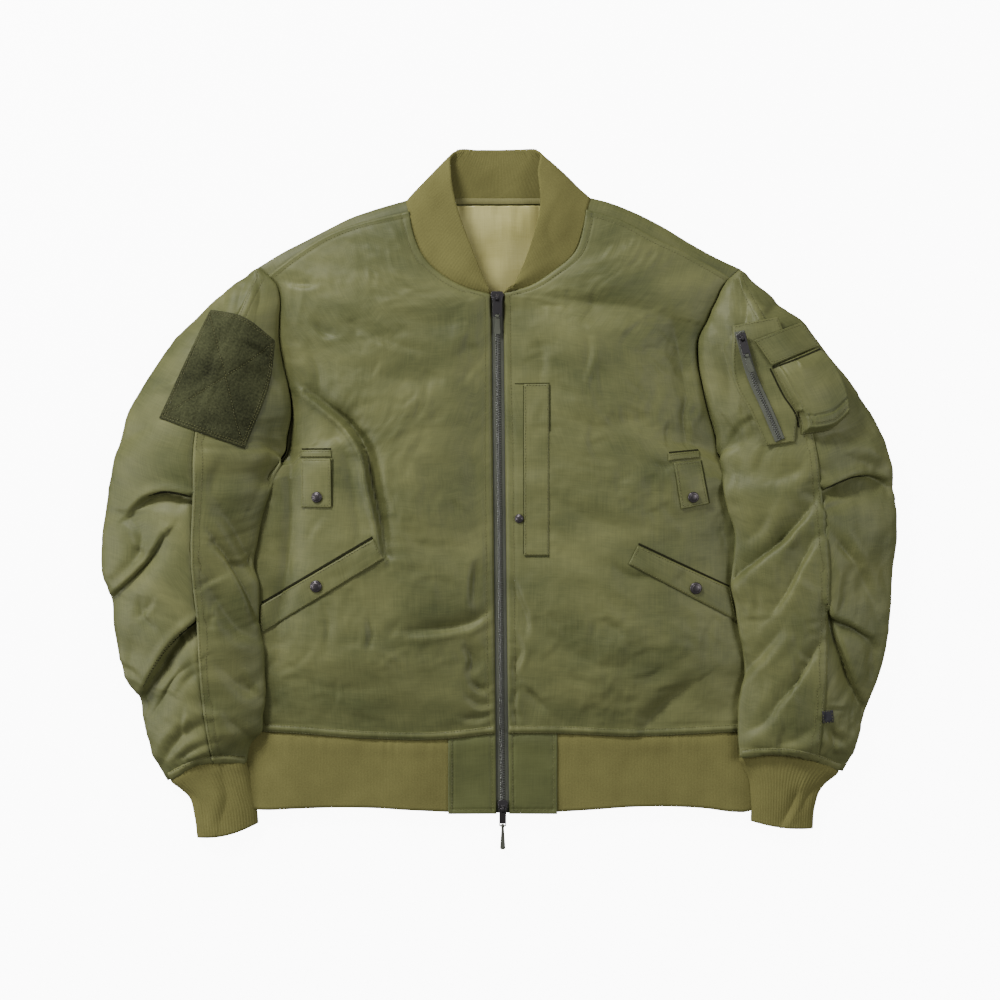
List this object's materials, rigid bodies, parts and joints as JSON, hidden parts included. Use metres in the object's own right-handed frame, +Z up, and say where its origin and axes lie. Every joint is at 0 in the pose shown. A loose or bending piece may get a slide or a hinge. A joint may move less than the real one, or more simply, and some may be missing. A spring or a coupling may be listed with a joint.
{
  "type": "bomber jacket",
  "caption": "Olive bomber jacket lying flat, zipped up, with ribbed collar, cuffs and hem, bellows pocket, loop-tape patch, and hinged zip pulls.",
  "frame": {"origin": "on the surface the jacket lies on, under the middle of its bounding box", "axes": "+X towards the wearer's left sleeve, +Y from hem to collar, +Z up from the surface out of the jacket's front"},
  "size_m": [0.86, 0.7596, 0.0567],
  "materials": {
    "nylon": "satin woven nylon, olive",
    "rib": "matt rib knit, olive yellow",
    "satin": "satin lining, khaki",
    "loop_tape": "brushed loop pile, dark olive",
    "zip_tape": "matt woven tape, dark grey",
    "gunmetal": "gunmetal plating, satin",
    "label": "plain woven tab, charcoal"
  },
  "bodies": {
    "root": {"back_panel": "nylon", "front_right": "nylon", "front_left": "nylon", "sleeve_right_front": "nylon", "sleeve_right_back": "nylon", "sleeve_left_front": "nylon", "sleeve_left_back": "nylon", "hem_tab_right": "nylon", "hem_tab_left": "nylon", "welt_right": "nylon", "welt_left": "nylon", "pen_bar_right": "nylon", "pen_bar_left": "nylon", "pen_tab_right": "nylon", "pen_tab_left": "nylon", "chest_welt": "nylon", "sleeve_pocket_base": "nylon", "sleeve_pocket_bellows": "nylon", "sleeve_pocket_flap": "nylon", "collar": "rib", "hem_rib": "rib", "cuff_right": "rib", "cuff_left": "rib", "lining_back": "satin", "neck_tape": "satin", "zip_tape_right": "zip_tape", "zip_tape_left": "zip_tape", "pocket_zip_tape": "zip_tape", "zip_chain": "gunmetal", "slider_top": "gunmetal", "slider_bottom": "gunmetal", "pocket_zip_chain": "gunmetal", "slider_pocket": "gunmetal", "welt_snap_right": "gunmetal", "welt_snap_left": "gunmetal", "pen_snap_right": "gunmetal", "pen_snap_left": "gunmetal", "chest_snap": "gunmetal", "loop_patch": "loop_tape", "label_tab": "label"},
    "pull_top": {"pull_top": "gunmetal"},
    "tail_top": {"tail_top": "zip_tape"},
    "pull_bottom": {"pull_bottom": "gunmetal"},
    "tail_bottom": {"tail_bottom": "zip_tape"},
    "pull_pocket": {"pull_pocket": "gunmetal"},
    "tail_pocket": {"tail_pocket": "zip_tape"}
  },
  "joints": [
    {"name": "pull_top_hinge", "type": "hinge", "parent": "root", "child": "pull_top", "pos_m": [-0.00194, 0.21726, 0.03007], "axis": [-1, 0, 0], "range_deg": [0, 150]},
    {"name": "tail_top_hinge", "type": "hinge", "parent": "pull_top", "child": "tail_top", "pos_m": [-0.00194, 0.19717, 0.02796], "axis": [-1, 0, 0], "range_deg": [0, 100]},
    {"name": "pull_bottom_hinge", "type": "hinge", "parent": "root", "child": "pull_bottom", "pos_m": [0.00395, -0.33474, 0.01529], "axis": [-1, 0, 0], "range_deg": [0, 120]},
    {"name": "tail_bottom_hinge", "type": "hinge", "parent": "pull_bottom", "child": "tail_bottom", "pos_m": [0.00395, -0.35377, 0.00642], "axis": [-1, 0, 0], "range_deg": [0, 100]},
    {"name": "pull_pocket_hinge", "type": "hinge", "parent": "root", "child": "pull_pocket", "pos_m": [0.26024, 0.17254, 0.0523], "axis": [-0.9669, -0.2529, 0.0333], "range_deg": [0, 150]},
    {"name": "tail_pocket_hinge", "type": "hinge", "parent": "pull_pocket", "child": "tail_pocket", "pos_m": [0.26534, 0.15329, 0.05414], "axis": [-0.9669, -0.2529, 0.0333], "range_deg": [0, 100]}
  ]
}
